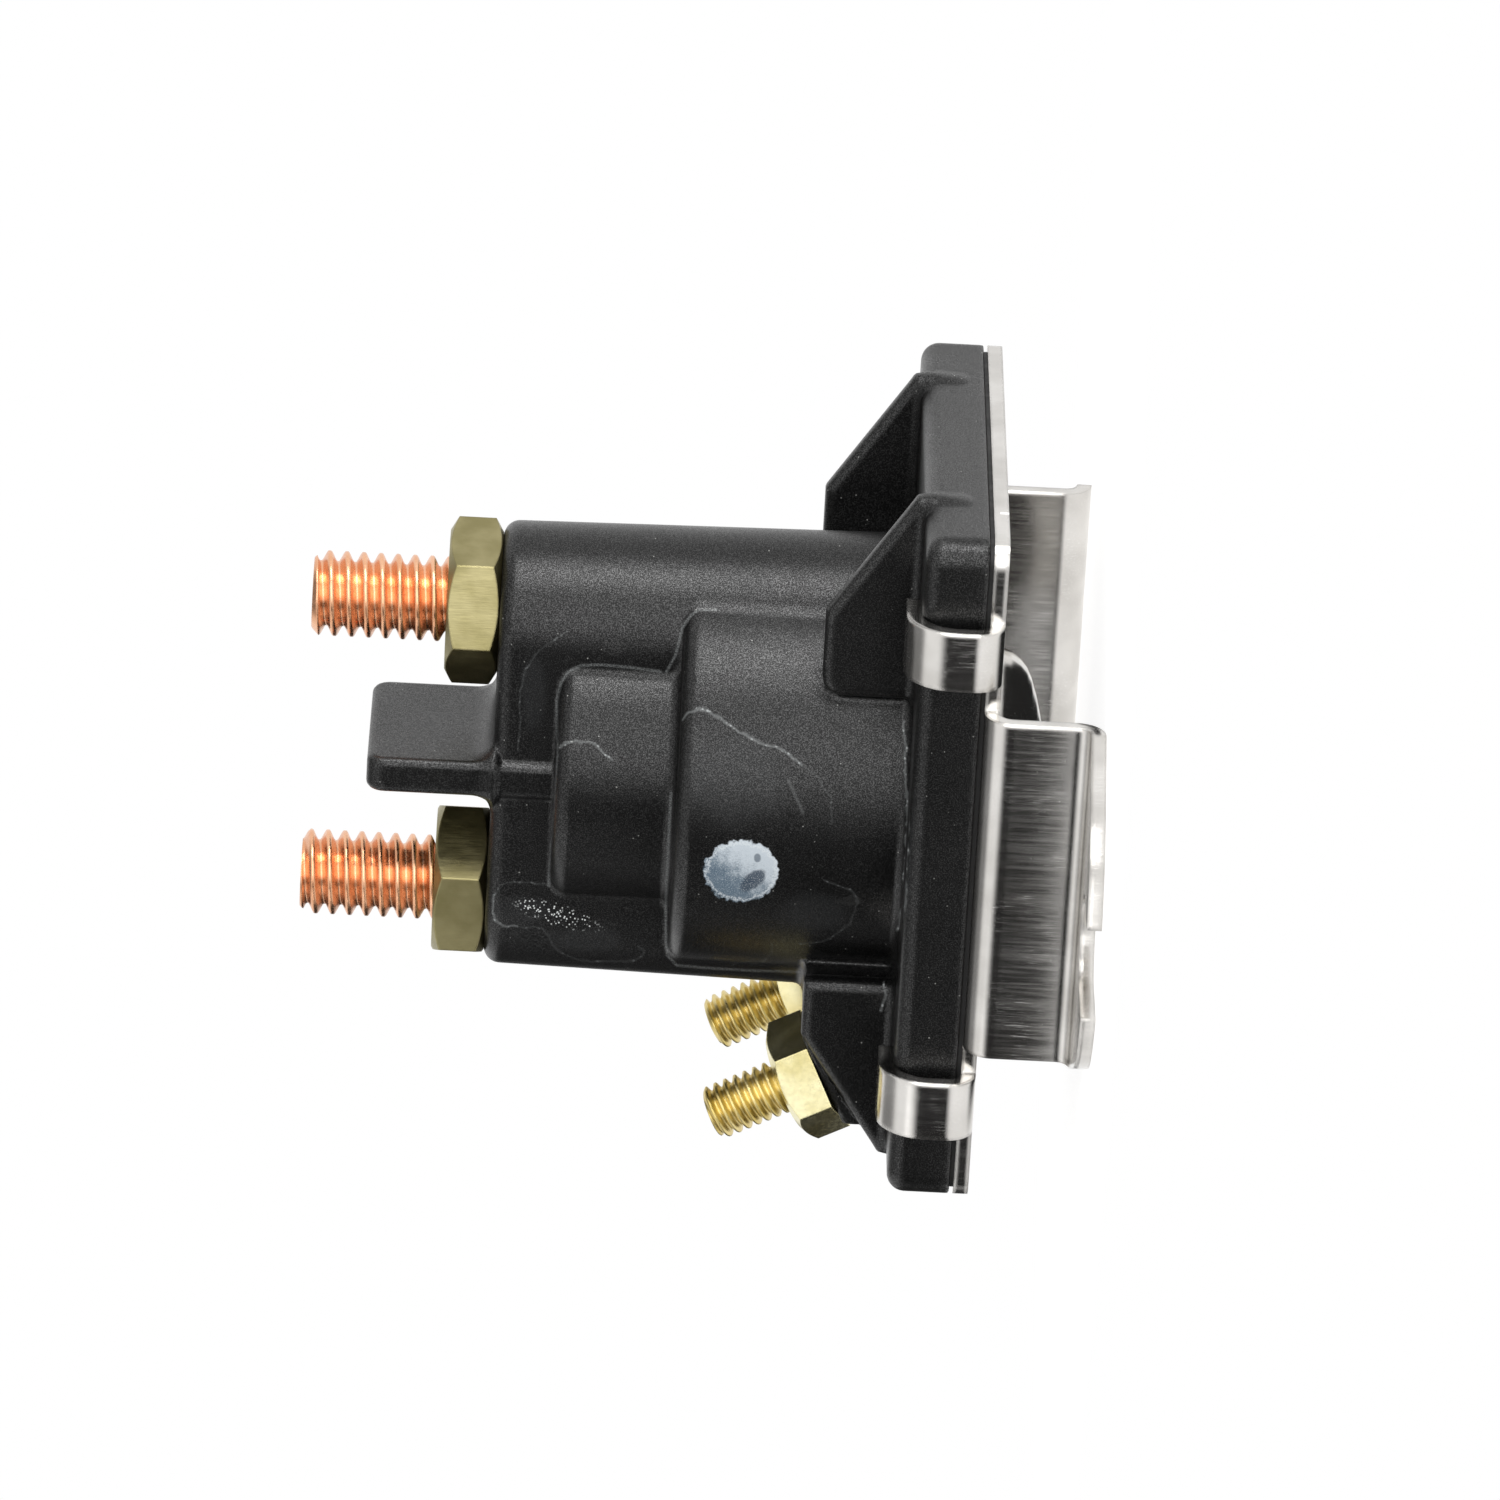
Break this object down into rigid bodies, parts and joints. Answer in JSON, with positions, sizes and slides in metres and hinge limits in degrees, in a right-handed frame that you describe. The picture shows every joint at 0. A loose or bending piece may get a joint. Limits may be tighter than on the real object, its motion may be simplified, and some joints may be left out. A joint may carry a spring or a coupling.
{
  "type": "starter solenoid",
  "caption": "Starter solenoid with a black moulded housing, copper power studs parted by a barrier, tilted control studs, a sprung plunger with contact disc, and a folded sheet bracket",
  "frame": {"origin": "on the line that joins the mounting faces of the two feet, midway between the slots and the power studs; z = 0 is the mounting face", "axes": "+Z is the power stud and plunger axis, from the feet to the stud tips; +Y runs from one foot slot to the other; +X points away from the control terminals"},
  "size_m": [0.0536, 0.0748, 0.0584],
  "materials": {
    "housing": "satin black thermoset moulding, fine speckle",
    "bracket": "bright plated sheet steel, fine rolling scratches",
    "gasket": "plain black rubber",
    "copper_stud": "bright copper",
    "power_nut": "turned brass, slightly dull",
    "control_brass": "bright brass",
    "nylon": "natural nylon",
    "coil_wire": "enamelled copper wire",
    "wrap_tape": "varnished tape",
    "soft_iron": "zinc plated soft iron",
    "spring_steel": "bright spring steel",
    "fibre": "vulcanised fibre"
  },
  "bodies": {
    "case": {"housing": "housing", "mounting_plate": "bracket", "base_gasket": "gasket", "battery_stud": "copper_stud", "motor_stud": "copper_stud", "battery_nut": "power_nut", "motor_nut": "power_nut", "signal_stud": "control_brass", "ground_stud": "control_brass", "signal_nut": "control_brass", "ground_nut": "control_brass", "coil_bobbin": "nylon", "coil_winding": "coil_wire", "coil_wrap": "wrap_tape", "guide_sleeve": "control_brass", "frame_cup": "soft_iron", "pole_piece": "soft_iron", "return_spring": "spring_steel", "fibre_washer": "fibre", "rest_bumper": "gasket", "signal_lead": "coil_wire", "ground_lead": "coil_wire"},
    "plunger": {"plunger": "soft_iron", "push_rod": "spring_steel", "contact_disc": "copper_stud", "disc_insulator": "fibre", "insulating_washer": "fibre", "contact_spring": "spring_steel", "retaining_clip": "spring_steel"}
  },
  "joints": [
    {"name": "plunger_travel", "type": "slide", "parent": "case", "child": "plunger", "axis": [0, 0, 1], "range_m": [0, 0.00195], "stiffness_N_per_m": 400, "springref_m": -0.004, "deforming": ["return_spring"]}
  ]
}
